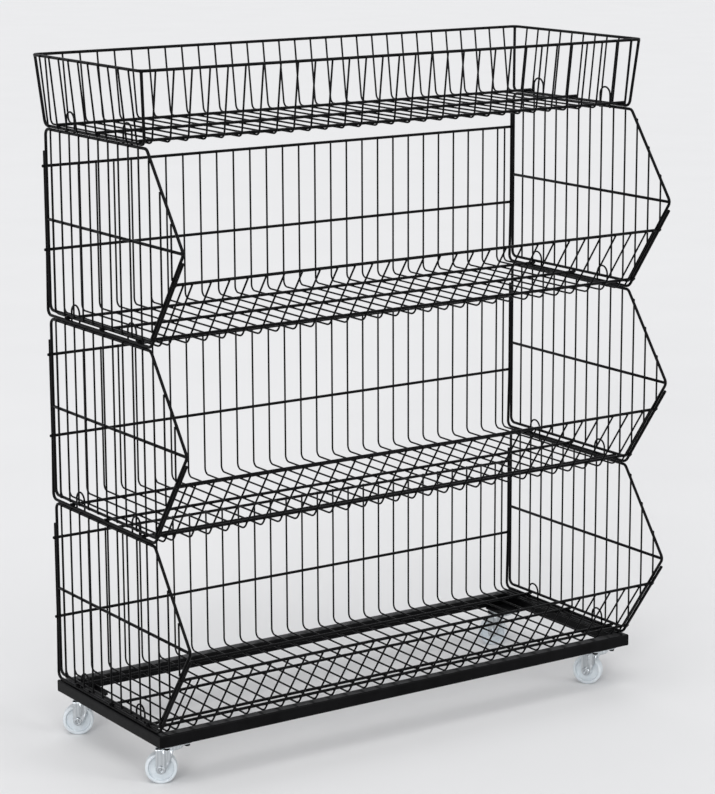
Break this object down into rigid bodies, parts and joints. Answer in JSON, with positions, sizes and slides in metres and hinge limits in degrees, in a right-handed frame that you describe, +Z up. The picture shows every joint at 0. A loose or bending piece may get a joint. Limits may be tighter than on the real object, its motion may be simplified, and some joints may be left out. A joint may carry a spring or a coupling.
{
  "type": "retail display rack",
  "caption": "Wheeled wire display rack: stacked open-front bins with sloped lips and a shallow top basket on a square-tube base with swivel casters.",
  "frame": {"origin": "centre of the rack's bounding box, on the floor under the wheels", "axes": "+X to the viewer's right along the rack's width, +Y from the bins' open front to their back, +Z up"},
  "size_m": [0.9436, 0.443, 1.1041],
  "materials": {
    "black_coating": "semi-gloss black powder coat on welded steel wire and tube",
    "zinc": "bright zinc plate on pressed and turned steel",
    "clear_plastic": "translucent white moulded plastic, satin"
  },
  "bodies": {
    "base": {"base_rail_front": "black_coating", "base_rail_back": "black_coating", "base_rail_left": "black_coating", "base_rail_right": "black_coating", "corner_plates": "black_coating", "base_loops": "black_coating", "caster_plate_front_left": "zinc", "caster_plate_front_right": "zinc", "caster_plate_back_left": "zinc", "caster_plate_back_right": "zinc", "plate_screws": "black_coating", "swivel_pins": "zinc", "swivel_balls": "zinc"},
    "swivel_front_left": {"caster_fork_front_left": "zinc", "caster_axle_front_left": "zinc", "axle_nut_front_left": "zinc"},
    "wheel_front_left": {"caster_wheel_front_left": "clear_plastic"},
    "swivel_front_right": {"caster_fork_front_right": "zinc", "caster_axle_front_right": "zinc", "axle_nut_front_right": "zinc"},
    "wheel_front_right": {"caster_wheel_front_right": "clear_plastic"},
    "swivel_back_left": {"caster_fork_back_left": "zinc", "caster_axle_back_left": "zinc", "axle_nut_back_left": "zinc"},
    "wheel_back_left": {"caster_wheel_back_left": "clear_plastic"},
    "swivel_back_right": {"caster_fork_back_right": "zinc", "caster_axle_back_right": "zinc", "axle_nut_back_right": "zinc"},
    "wheel_back_right": {"caster_wheel_back_right": "clear_plastic"},
    "lower_bin": {"lower_bin_side_left": "black_coating", "lower_bin_side_right": "black_coating", "lower_bin_back": "black_coating", "lower_bin_floor": "black_coating", "lower_bin_lip": "black_coating", "lower_bin_loops": "black_coating"},
    "middle_bin": {"middle_bin_side_left": "black_coating", "middle_bin_side_right": "black_coating", "middle_bin_back": "black_coating", "middle_bin_floor": "black_coating", "middle_bin_lip": "black_coating", "middle_bin_loops": "black_coating"},
    "upper_bin": {"upper_bin_side_left": "black_coating", "upper_bin_side_right": "black_coating", "upper_bin_back": "black_coating", "upper_bin_floor": "black_coating", "upper_bin_lip": "black_coating", "upper_bin_loops": "black_coating"},
    "basket": {"basket_side_left": "black_coating", "basket_side_right": "black_coating", "basket_front": "black_coating", "basket_back": "black_coating", "basket_floor": "black_coating"}
  },
  "joints": [
    {"name": "swivel_turn_front_left", "type": "hinge", "parent": "base", "child": "swivel_front_left", "pos_m": [-0.42, -0.09633, 0.06], "axis": [0, 0, 1], "continuous": true},
    {"name": "wheel_spin_front_left", "type": "hinge", "parent": "swivel_front_left", "child": "wheel_front_left", "pos_m": [-0.43527, -0.08679, 0.025], "axis": [-0.5299, -0.848, 0], "continuous": true},
    {"name": "swivel_turn_front_right", "type": "hinge", "parent": "base", "child": "swivel_front_right", "pos_m": [0.42, -0.09633, 0.06], "axis": [0, 0, 1], "continuous": true},
    {"name": "wheel_spin_front_right", "type": "hinge", "parent": "swivel_front_right", "child": "wheel_front_right", "pos_m": [0.40968, -0.08158, 0.025], "axis": [-0.8192, -0.5736, 0], "continuous": true},
    {"name": "swivel_turn_back_left", "type": "hinge", "parent": "base", "child": "swivel_back_left", "pos_m": [-0.42, 0.17567, 0.06], "axis": [0, 0, 1], "continuous": true},
    {"name": "wheel_spin_back_left", "type": "hinge", "parent": "swivel_back_left", "child": "wheel_back_left", "pos_m": [-0.43527, 0.18521, 0.025], "axis": [-0.5299, -0.848, 0], "continuous": true},
    {"name": "swivel_turn_back_right", "type": "hinge", "parent": "base", "child": "swivel_back_right", "pos_m": [0.42, 0.17567, 0.06], "axis": [0, 0, 1], "continuous": true},
    {"name": "wheel_spin_back_right", "type": "hinge", "parent": "swivel_back_right", "child": "wheel_back_right", "pos_m": [0.40621, 0.18724, 0.025], "axis": [-0.6428, -0.766, 0], "continuous": true},
    {"name": "lower_bin_lift", "type": "slide", "parent": "base", "child": "lower_bin", "axis": [0, 0, 1], "range_m": [0, 0.06]},
    {"name": "middle_bin_lift", "type": "slide", "parent": "lower_bin", "child": "middle_bin", "axis": [0, 0, 1], "range_m": [0, 0.06]},
    {"name": "upper_bin_lift", "type": "slide", "parent": "middle_bin", "child": "upper_bin", "axis": [0, 0, 1], "range_m": [0, 0.06]},
    {"name": "basket_lift", "type": "slide", "parent": "upper_bin", "child": "basket", "axis": [0, 0, 1], "range_m": [0, 0.06]}
  ]
}
